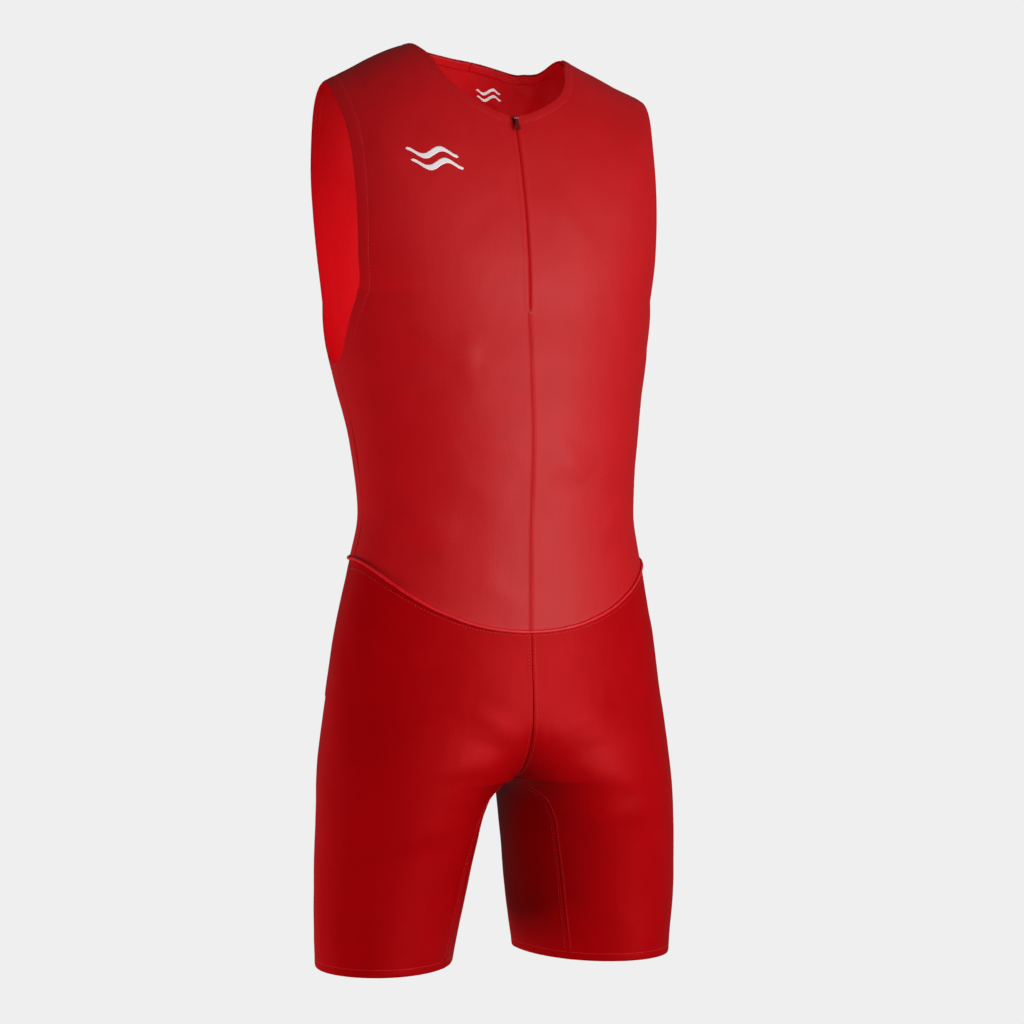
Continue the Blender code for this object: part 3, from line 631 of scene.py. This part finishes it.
def knitMaterial(name, knit):
    sheen = linearColour("#ff5a60")
    made, tree, shader = newMaterial(name, **{key: knit[key] for key in knit if key[0].isupper()},
                                     **{"Sheen Tint": sheen, "IOR": 1.5})
    place = addNode(tree, "ShaderNodeTexCoord")
    mottle = addNode(tree, "ShaderNodeTexNoise", [("Vector", place.outputs["Object"])],
                     Scale=1 / 0.030, Detail=3.0, Roughness=0.55)
    colourAndGrain(tree, shader, mottle.outputs["Fac"], knit)
    turned = addNode(tree, "ShaderNodeMapping", [("Vector", place.outputs["Object"])],
                     Rotation=(0.0, 0.0, math.radians(45)))
    wales = addNode(tree, "ShaderNodeTexWave", [("Vector", turned.outputs["Vector"])],
                    bands_direction="X", Scale=bandScale(knit["wale"] * 2 * mm), Distortion=0.6,
                    Detail=1.0)
    courses = addNode(tree, "ShaderNodeTexWave", [("Vector", place.outputs["Object"])],
                      bands_direction="Z", Scale=bandScale(knit["course"] * 2 * mm), Distortion=0.8,
                      Detail=1.0)  # the real loops are half as wide: drawn twice as coarse to show
    loops = addNode(tree, "ShaderNodeMath", [(0, wales.outputs["Fac"]), (1, courses.outputs["Fac"])],
                    operation="MULTIPLY")
    bump = addNode(tree, "ShaderNodeBump", [("Height", loops.outputs["Value"])],
                   Strength=knit["loops"], Distance=0.25 * mm)
    soft = addNode(tree, "ShaderNodeTexNoise", [("Vector", place.outputs["Object"])],
                   Scale=1 / 0.0045, Detail=2.0)
    crinkle = addNode(tree, "ShaderNodeBump", [("Height", soft.outputs["Fac"]),
                                               ("Normal", bump.outputs["Normal"])],
                      Strength=0.10, Distance=0.8 * mm)
    tree.links.new(shader.inputs["Normal"], crinkle.outputs["Normal"])
    return made


def tapeMaterial():  # woven polyester zip tape: a dull herringbone, ribs 1 mm apart
    made, tree, shader = newMaterial("wovenTape", Roughness=0.7, **{"Specular IOR Level": 0.35})
    place = addNode(tree, "ShaderNodeTexCoord")
    ribs = addNode(tree, "ShaderNodeTexWave", [("Vector", place.outputs["Object"])],
                   bands_direction="DIAGONAL", Scale=bandScale(1.0 * mm), Distortion=0.4)
    look = {"dark": "#7d0008", "light": "#94040f", "bump": (0.3, 0.2 * mm)}
    colourAndGrain(tree, shader, ribs.outputs["Fac"], look)
    return made


def threadMaterial():  # polyester thread with a slight shine, its twist drawn as slanted bands
    made, tree, shader = newMaterial("polyesterThread", Roughness=0.45, **{"Sheen Weight": 0.15})
    place = addNode(tree, "ShaderNodeTexCoord")
    twist = addNode(tree, "ShaderNodeTexWave", [("Vector", place.outputs["Object"])],
                    bands_direction="DIAGONAL", Scale=bandScale(0.5 * mm))
    look = {"dark": "#a3060f", "light": "#bd1a26"}
    colourAndGrain(tree, shader, twist.outputs["Fac"], look)
    return made


def zincMaterial():  # die-cast zinc, sprayed dark red: smooth with a faint orange peel
    made, tree, shader = newMaterial("paintedZinc", Roughness=0.32, **{"Coat Weight": 0.3,
                                                                      "Coat Roughness": 0.2})
    place = addNode(tree, "ShaderNodeTexCoord")
    peel = addNode(tree, "ShaderNodeTexNoise", [("Vector", place.outputs["Object"])], Scale=1 / 0.0008,
                   Detail=2.0)
    look = {"dark": "#5c0006", "light": "#6d020a", "bump": (0.15, 0.05 * mm)}
    colourAndGrain(tree, shader, peel.outputs["Fac"], look)
    return made


def coilMaterial():  # extruded nylon coil, dyed: smooth and a little glossy
    made, tree, shader = newMaterial("nylonCoil", Roughness=0.4, **{"IOR": 1.53})
    place = addNode(tree, "ShaderNodeTexCoord")
    cloud = addNode(tree, "ShaderNodeTexNoise", [("Vector", place.outputs["Object"])], Scale=1 / 0.003)
    look = {"dark": "#6b0006", "light": "#82040c"}
    colourAndGrain(tree, shader, cloud.outputs["Fac"], look)
    return made


def filmMaterial():  # white transfer film pressed on: flat, with the knit's grain telling through
    made, tree, shader = newMaterial("transferFilm", Roughness=0.5)
    place = addNode(tree, "ShaderNodeTexCoord")
    grain = addNode(tree, "ShaderNodeTexNoise", [("Vector", place.outputs["Object"])], Scale=1 / 0.0012,
                    Detail=2.0)
    look = {"dark": "#dcd2d2", "light": "#efe8e8", "bump": (0.2, 0.1 * mm)}
    colourAndGrain(tree, shader, grain.outputs["Fac"], look)
    return made


bodiceKnit = knitMaterial("interlockPolyester", knits["bodice"])
shortsKnit = knitMaterial("satinNylon", knits["shorts"])
# the binding material is a lighter copy of the satin: its colour holds a painted highlight
paintedHighlightKnit = knitMaterial("paintedHighlightNylon", knits["paintedHighlightBinding"])
wovenTape = tapeMaterial()
thread = threadMaterial()
paintedZinc = zincMaterial()
nylonCoil = coilMaterial()
transferFilm = filmMaterial()
print("materials ready")


# camera, light and backdrop

camera = {"distance": 2.3, "turn": -20.0, "aside": 0.026, "height": -0.460, "lens": 80.9}

turn = math.radians(camera["turn"])
right = Vector((math.cos(turn), math.sin(turn), 0))
ahead = Vector((-math.sin(turn), math.cos(turn), 0))
up = Vector((0, 0, 1))
eye = bpy.data.objects.new("camera", bpy.data.cameras.new("camera"))
eye.data.lens = camera["lens"]
eye.data.sensor_width = 36
eye.location = right * camera["aside"] - ahead * camera["distance"] + up * camera["height"]
eye.rotation_euler = (math.pi / 2, 0, turn)
scene.collection.objects.link(eye)
scene.camera = eye

softboxes = {  # metres to the camera's right, ahead of the suit and up; size, power in watts
    "key": {"at": (1.42, -1.42, 0.1), "size": (0.9, 1.6), "power": 40, "glossy": True},
    "fill": {"at": (-0.35, -2.0, 0.1), "size": (0.7, 1.6), "power": 9, "glossy": False},
    "sideRight": {"at": (1.45, 0.30, 0.0), "size": (0.40, 1.9), "power": 2, "glossy": False},
    "sideLeft": {"at": (-1.50, 0.0, -0.75), "size": (0.50, 0.9), "power": 21, "glossy": False},
    "back": {"at": (0.3, 2.4, 0.9), "size": (1.6, 1.2), "power": 14, "glossy": False},
}
insideLight = {"at": (-0.03, -0.055, -0.225), "size": (0.12, 0.18), "power": 0.46, "glossy": False}
backdrop = {"white": "#efefef", "floorZ": -1.60, "radius": 6.0, "bend": 1.5, "height": 5.0, "ambient": 0.15}


def addAreaLight(name, box, place, rotation):
    light = bpy.data.lights.new(name, "AREA")
    light.shape = "RECTANGLE"
    light.size, light.size_y = box["size"]
    light.energy = box["power"]
    made = bpy.data.objects.new(name, light)
    made.location = place
    made.rotation_euler = rotation
    made.visible_camera = False
    made.visible_glossy = box["glossy"]
    scene.collection.objects.link(made)


def addBackdrop():  # a pale floor that curves up into a pale wall all round
    profile = [(0.0, 0.0), (backdrop["radius"] - backdrop["bend"], 0.0)]
    for k in range(1, 13):
        a = math.pi / 2 * k / 12
        profile.append((backdrop["radius"] - backdrop["bend"] * (1 - math.sin(a)),
                        backdrop["bend"] * (1 - math.cos(a))))
    profile.append((backdrop["radius"], backdrop["height"]))
    sides = 96
    points = np.array([[(r * math.cos(2 * math.pi * k / sides), r * math.sin(2 * math.pi * k / sides),
                         backdrop["floorZ"] + z) for k in range(sides + 1)] for r, z in profile])
    made, tree, shader = newMaterial("paintedBackdrop", Roughness=1.0, **{"Specular IOR Level": 0.0})
    shader.inputs["Base Color"].default_value = (0, 0, 0, 1)
    shader.inputs["Emission Color"].default_value = linearColour(backdrop["white"])
    shader.inputs["Emission Strength"].default_value = 1.0
    cove = makeMesh("backdrop", points.reshape(-1, 3), gridFaces(len(profile), sides + 1, False), made)
    cove.visible_diffuse = False
    cove.visible_glossy = False
    cove.visible_shadow = False


middle = Vector((0, 0, camera["height"]))
for name, box in softboxes.items():
    aside, forward, high = box["at"]
    place = middle + right * aside + ahead * forward + up * high
    addAreaLight(name, box, place, (middle - place).to_track_quat("-Z", "Y").to_euler())
addAreaLight("insideLight", insideLight, insideLight["at"], (math.pi / 2, 0, 0))  # brightens the hollow
addBackdrop()
world = bpy.data.worlds.new("studio")
world.use_nodes = True
world.node_tree.nodes["Background"].inputs["Color"].default_value = linearColour(backdrop["white"])
world.node_tree.nodes["Background"].inputs["Strength"].default_value = backdrop["ambient"]
scene.world = world
scene.view_settings.view_transform = "Standard"
print("camera, light and backdrop ready")


# the bodice

edges = {"armhole": 12.2 * mm, "neck": 8.4 * mm, "hem": 7.6 * mm, "ridge": 1.7 * mm}


def seamRidge(distance):
    return 0.22 * mm * np.exp(-((distance - 1.6 * mm) / (1.8 * mm)) ** 2) \
        - 0.2 * mm * np.exp(-(distance / (0.7 * mm)) ** 2)


slit = {"depth": 0.9 * mm, "width": 1.1 * mm, "lip": 0.35 * mm, "lipAt": 3.4 * mm, "lipWidth": 1.8 * mm,
        "fadeFrom": -2 * mm, "fadeTo": 6 * mm, "ridgeHeight": 0.9 * mm}


def bodiceRelief(face, half, side, seed):
    armRows = half[:, -1, 2] > suit["chestZ"] + armhole["rows"][0][0] - nearly
    neckRows = half[:, 0, 2] > atX(face, 0, suit["neckRise"][face])[2] - nearly
    arm, neck = half[armRows, -1], half[neckRows, 0]
    total = turnedEdge(edgeDistance(half, arm), edges["armhole"])
    total += turnedEdge(edgeDistance(half, neck), edges["neck"])
    for seam in (half[0], half[-1], half[~armRows, -1]):  # waist, shoulder and side
        total += seamRidge(edgeDistance(half, seam))
    placed = half * np.array([side, 1, 1])
    total += creaseHeight(placed, creases[face])
    quiet = smooth(edgeDistance(half, np.concatenate([arm, neck, half[-1]])), 2 * mm, 25 * mm)
    total += softUneven(placed, seed) * quiet
    if face == "front":
        x, z = half[..., 0], half[..., 2]
        below = smooth(-z, -suit["zipEnd"] + slit["fadeFrom"], -suit["zipEnd"] + slit["fadeTo"])
        total += below * slit["ridgeHeight"] * np.exp(-(x / edges["ridge"]) ** 2)
        cut = -slit["depth"] * np.exp(-(x / slit["width"]) ** 2)
        cut += slit["lip"] * np.exp(-((x - slit["lipAt"]) / slit["lipWidth"]) ** 2)
        total += (1 - below) * cut
    return total


def finished(half, face, side, seed, outward):
    relief = bodiceRelief(face, half, side, seed)
    return leanOver((half + sheetNormals(half, outward) * relief[..., None]) * np.array([side, 1, 1]))


def closeSeam(sheet, half, column, below):  # both sides of a centre seam meet on the centre plane
    rows = (half[:, column, 0] < suit["gap"]) & (half[:, column, 2] < below)
    sheet[rows, column, 0] = 0.0


frontHalf, backHalf = bodiceHalf("front"), bodiceHalf("back")
outer = {}
for side, label in ((1, "Left"), (-1, "Right")):
    outer["front" + label] = finished(frontHalf, "front", side, 3.1 + side, 1)
    closeSeam(outer["front" + label], frontHalf, 0, suit["zipEnd"])
    outer["back" + label] = finished(backHalf, "back", side, 8.7, -1)

backMiddle = (outer["backLeft"][:, 0] + outer["backRight"][:, 0]) / 2
below = np.abs(backHalf[:, 0, 0]) < 0.01 * mm
for label in ("Left", "Right"):
    outer["back" + label][below, 0] = backMiddle[below]

for label, node, flip in (("Left", "front_left", False), ("Right", "front_right", True)):
    panel = makeCloth("front" + label + "Panel", [(outer["front" + label], flip)], bodiceKnit,
                      suit["cloth"])
    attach(panel, "suit")
    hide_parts(node)
backPanel = makeCloth("backPanel", [(outer["backLeft"], True), (outer["backRight"], False)], bodiceKnit,
                      suit["cloth"], weld=True)
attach(backPanel, "suit")
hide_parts("back")
print("bodice made")


# the shorts

def legRelief(points, side, seed):
    hem = edgeDistance(points, points[-1])
    total = turnedEdge(hem, edges["hem"], 0.14 * mm, 0.10 * mm)
    total += seamRidge(edgeDistance(points, points[0]))
    total += seamRidge(edgeDistance(points, points[:, 0]))
    total += seamRidge(edgeDistance(points, points[:, -1]))
    placed = points * np.array([side, 1, 1])
    behind = smooth(points[..., 1], -0.075, 0.005)
    front, back = creaseHeight(placed, creases["shorts"]), creaseHeight(placed, creases["seat"])
    total += (1 - behind) * front + behind * back
    total += softUneven(placed, seed) * smooth(edgeDistance(points, points[-1]), 2 * mm, 25 * mm)
    return total


legHalf = legGrid()
legNormal = sheetNormals(legHalf, -1)
for side, label, node, flip in ((1, "Left", "leg_left", True), (-1, "Right", "leg_right", False)):
    relief = legRelief(legHalf, side, 14.3 + side)
    outer["leg" + label] = (legHalf + legNormal * relief[..., None]) * np.array([side, 1, 1])
    for column in (0, -1):
        closeSeam(outer["leg" + label], legHalf, column, 0.0)
    panel = makeCloth("leg" + label + "Panel", [(outer["leg" + label], flip)], shortsKnit, suit["cloth"])
    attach(panel, "suit")
    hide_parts(node)
print("shorts made")


# trims that lie on the panels

def nearestOn(trees, point):
    hits = [tree.find_nearest(Vector(point)) for tree in trees]
    return np.array(min(hits, key=lambda hit: hit[3])[0])


def insetPath(edge, inner, trees, distance, middle):  # a line at a distance inside an edge
    tangent = np.gradient(edge, axis=0)
    tangent /= np.linalg.norm(tangent, axis=1, keepdims=True)
    inward = inner - edge
    inward -= tangent * (inward * tangent).sum(axis=1, keepdims=True)
    inward /= np.linalg.norm(inward, axis=1, keepdims=True)
    path = np.array([nearestOn(trees, p) for p in edge + inward * distance])
    normal = np.cross(np.gradient(path, axis=0), inward)
    normal /= np.linalg.norm(normal, axis=1, keepdims=True)
    facing = np.sign((normal * (path - np.array(middle))).sum(axis=1, keepdims=True))
    return path, normal * facing


trees = {label: facetTree(points) for label, points in outer.items()}
hollowMiddle = (0.0, -0.01, -0.22)

neckBand = {"width": 9.0 * mm, "inset": 0.8 * mm, "rows": 8, "columns": 46, "depth": 1.6 * mm,
            "shortOf": 4 * mm}


def neckBandSheet(side):
    neckZ = atX("back", 0, suit["neckRise"]["back"])[2]
    line = backHalf[backHalf[:, 0, 2] > neckZ - nearly, 0]
    edge = pointsAt(line, np.linspace(0, lengthsAlong(line)[-1] - neckBand["shortOf"], neckBand["columns"]))
    tree = facetTree(backHalf)
    along = np.gradient(edge, axis=0)
    along[0] = (1.0, 0, 0)
    along /= np.linalg.norm(along, axis=1, keepdims=True)
    normals = np.array([tree.find_nearest(Vector(p))[1] for p in edge])
    normals *= np.sign(normals[:, 1:2])
    normals /= np.linalg.norm(normals, axis=1, keepdims=True)
    down = np.cross(normals, along)
    down *= -np.sign(down[:, 2:3])
    places = []
    for inset in neckBand["inset"] + np.linspace(0, neckBand["width"], neckBand["rows"]):
        hits = [tree.find_nearest(Vector(p)) for p in edge + down * inset]
        places.append([np.array(hit[0]) - normal * neckBand["depth"]
                       for hit, normal in zip(hits, normals)])
    return leanOver(np.array(places) * np.array([side, 1, 1]))


bandSheets = [(neckBandSheet(1), False), (neckBandSheet(-1), True)]
neckBandPiece = makeCloth("neckBand", bandSheets, bodiceKnit, suit["trim"], weld=True)
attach(neckBandPiece, "suit")
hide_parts("neck_band_back")

tape = {"columns": slice(1, 11), "top": -0.084, "coilDepth": 2.2 * mm}
coil = {"length": 1.8 * mm, "radius": 0.36 * mm, "lift": 0.0, "pitch": 1.1 * mm}
tapePieces, coilRuns = {}, []
for side, label, node, flip in ((1, "Left", "zip_tape_left", False),
                                (-1, "Right", "zip_tape_right", True)):
    panel = outer["front" + label]
    normal = sheetNormals(panel, side)
    rows = [j for j in range(len(panel)) if suit["zipEnd"] < panel[j, 0, 2] < tape["top"]]
    inside = panel[rows] - normal[rows] * (suit["cloth"] + suit["gap"])
    made = makeCloth("zipTape" + label, [(inside[:, tape["columns"]], flip)], wovenTape, suit["trim"])
    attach(made, "suit")
    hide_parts(node)
    tapePieces[label] = made
    coilRuns.append((panel[rows, 2] - normal[rows, 2] * tape["coilDepth"], normal[rows, 2]))
coils = makeBeads("zipCoils", coilRuns, coil, nylonCoil, across=True)
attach(coils, "suit")

piping = {"width": 3.2 * mm, "height": 2.6 * mm, "lift": 1.5 * mm, "sides": 14, "wander": 0.35 * mm,
          "wall": 0.4 * mm, "ringStep": 2.6 * mm, "wanderSize": 18 * mm, "swell": 0.22, "swellSize": 7 * mm}


def waistRing():
    loops = []
    for name, reverse in (("frontLeft", False), ("backLeft", True), ("backRight", False),
                          ("frontRight", True)):
        panel = outer[name][:9]
        normal = sheetNormals(panel, 1)[0]
        climb = panel[8] - panel[0]
        row = np.column_stack([panel[0], normal, climb])
        loops.append(row[::-1] if reverse else row)
    ring = np.concatenate([loop[:-1] for loop in loops])
    middle = np.array([0, -0.02, 0])
    normal = ring[:, 3:6]
    flat = (ring[:, :3] - middle) * np.array([1, 1, 0])
    normal *= np.sign((normal * flat).sum(axis=1, keepdims=True))
    climb = ring[:, 6:9]
    climb -= normal * (climb * normal).sum(axis=1, keepdims=True)
    climb /= np.linalg.norm(climb, axis=1, keepdims=True)
    return ring[:, :3], normal, climb


def makePiping():
    path, normal, climb = waistRing()
    along = lengthsAlong(np.concatenate([path, path[:1]]))
    count = int(along[-1] / piping["ringStep"])
    at = np.linspace(0, along[-1], count + 1)[:-1]
    everything = np.column_stack([path, normal, climb])
    everything = np.concatenate([everything, everything[:1]])
    ring = np.column_stack([np.interp(at, along, everything[:, k]) for k in range(9)])
    points, faces, sides = [], [], piping["sides"]
    for p in ring:
        stray = noise.noise(Vector(p[:3] / piping["wanderSize"]))
        centre = p[:3] + p[3:6] * piping["lift"] + p[6:9] * stray * piping["wander"]
        swell = 1 + piping["swell"] * noise.noise(Vector(p[:3] / piping["swellSize"]))
        for k in range(sides):
            a = 2 * math.pi * k / sides
            points.append(centre + p[3:6] * math.sin(a) * piping["height"] / 2 * swell
                          + p[6:9] * math.cos(a) * piping["width"] / 2 * swell)
    for j in range(count):
        for k in range(sides):
            nextRing, nextSide = (j + 1) % count, (k + 1) % sides
            faces.append((j * sides + k, j * sides + nextSide, nextRing * sides + nextSide,
                          nextRing * sides + k))
    # the piping's lighter colour is a painted highlight on the lip, not the strip's own colour
    made = makeMesh("waistPiping", points, faces, paintedHighlightKnit)
    wall = made.modifiers.new("wall", "SOLIDIFY")  # the strip itself, wrapped all round
    wall.thickness = piping["wall"]
    wall.offset = -1.0
    return made


pipingPiece = makePiping()
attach(pipingPiece, "suit")
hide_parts("waist_piping")
print("band, tapes and piping made")


# stitches

topStitch = {"length": 2.3 * mm, "gap": 1.2 * mm, "radius": 0.22 * mm, "lift": 0.06 * mm, "flat": 0.75}
barTack = {"length": 5.0 * mm, "radius": 0.33 * mm, "lift": 0.25 * mm, "pitch": 0.8 * mm}

armRuns, neckRuns = [], []
for label, face in (("frontLeft", "front"), ("frontRight", "front"), ("backLeft", "back"),
                    ("backRight", "back")):
    panel = outer[label]
    tree = (trees[label],)
    half = frontHalf if face == "front" else backHalf
    rows = half[:, -1, 2] > suit["chestZ"] + armhole["rows"][0][0] + mm
    armRuns.append(insetPath(panel[rows, -1], panel[rows, -8], tree, edges["armhole"], hollowMiddle))
    neckZ = atX(face, 0, suit["neckRise"][face])[2]
    rows = (half[:, 0, 2] > neckZ + nearly) & (half[:, 0, 0] > 5 * mm)
    neckRuns.append(insetPath(panel[rows, 0], panel[rows, 7] - np.array([0, 0, 4 * mm]), tree,
                              edges["neck"], hollowMiddle))

hemRuns, waistRuns, riseRuns = [], [], []
for side, label in ((1, "Left"), (-1, "Right")):
    panel = outer["leg" + label]
    normal = sheetNormals(panel, -side)
    hemRuns.append((panel[-8], normal[-8]))
    waistRuns.append((panel[6], normal[6]))
    for column in (4, -5):
        riseRuns.append((panel[2:-9, column], normal[2:-9, column]))

stitchRuns = {"armhole": armRuns, "neck": neckRuns, "hem": hemRuns, "waist": waistRuns,
              "rise": riseRuns}
for name, runs in stitchRuns.items():
    stitches = makeBeads(name + "Stitches", runs, topStitch, thread)
    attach(stitches, "suit")

front = outer["frontLeft"]
rows = [j for j in range(len(front)) if -7 * mm < front[j, 0, 2] - suit["zipEnd"] < 0]
tack = makeBeads("zipBarTack", [(front[rows, 0] * np.array([0, 1, 1]),
                                 sheetNormals(front, 1)[rows, 0] * np.array([0, 1, 1]))], barTack, thread,
                 across=True)
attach(tack, "suit")
print("stitches made")


# printed wave motif

motifs = {
    "chestMotif": {"at": (-0.0845, -0.1245), "size": (0.050, 0.023), "from": -1.0, "tree": ("frontRight",),
                   "sink": 0.0},
    "neckMotif": {"at": (0.026, -0.0300), "size": (0.026, 0.012), "from": 0.0,
                  "tree": ("backLeft", "backRight"), "sink": 1.2 * mm},
}
wave = {"thick": 0.30, "apart": 0.25, "swing": 0.16, "length": 0.98, "shift": 2 * mm / 0.023,
        "lift": 0.16 * mm, "film": 0.08 * mm}  # the first five are shares of the motif's size


def waveBar(motif, lower):
    width, height = motif["size"]
    thick = height * wave["thick"]
    middle = height * wave["apart"] * (-1 if lower else 1)
    swing = height * wave["swing"]
    shift = height * wave["shift"] * (1 if lower else -1)
    sheet = []
    for v in np.linspace(-0.5, 0.5, 7):
        row = []
        for u in np.linspace(-0.5, 0.5, 49):
            taper = (1 - abs(2 * u) ** 6) ** 0.5 * (0.75 + 0.25 * math.cos(3 * math.pi * u))
            x = motif["at"][0] + width * u * wave["length"] + shift
            z = motif["at"][1] + middle + swing * math.sin(3 * math.pi * u) + v * thick * taper
            hits = [trees[name].ray_cast(Vector((x, motif["from"], z)), Vector((0, 1, 0)))
                    for name in motif["tree"]]
            hit = min((h for h in hits if h[0]), key=lambda h: h[3])
            towards = -1 if motif["from"] < 0 else 1
            normal = np.array(hit[1]) * (towards * np.sign(hit[1][1] or 1))
            lift = wave["lift"] if motif["from"] < 0 else -(motif["sink"] + wave["lift"])
            row.append(np.array(hit[0]) + normal * lift)
        sheet.append(row)
    return np.array(sheet)


for name, motif in motifs.items():
    sheets = [(waveBar(motif, lower), motif["from"] >= 0) for lower in (False, True)]
    made = makeCloth(name, sheets, transferFilm, wave["film"])
    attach(made, "suit")
print("motif made")


# zip slider and pull keep their solids

for node in ("zip_slider", "zip_pull"):
    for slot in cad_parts[node].material_slots:
        slot.material = paintedZinc
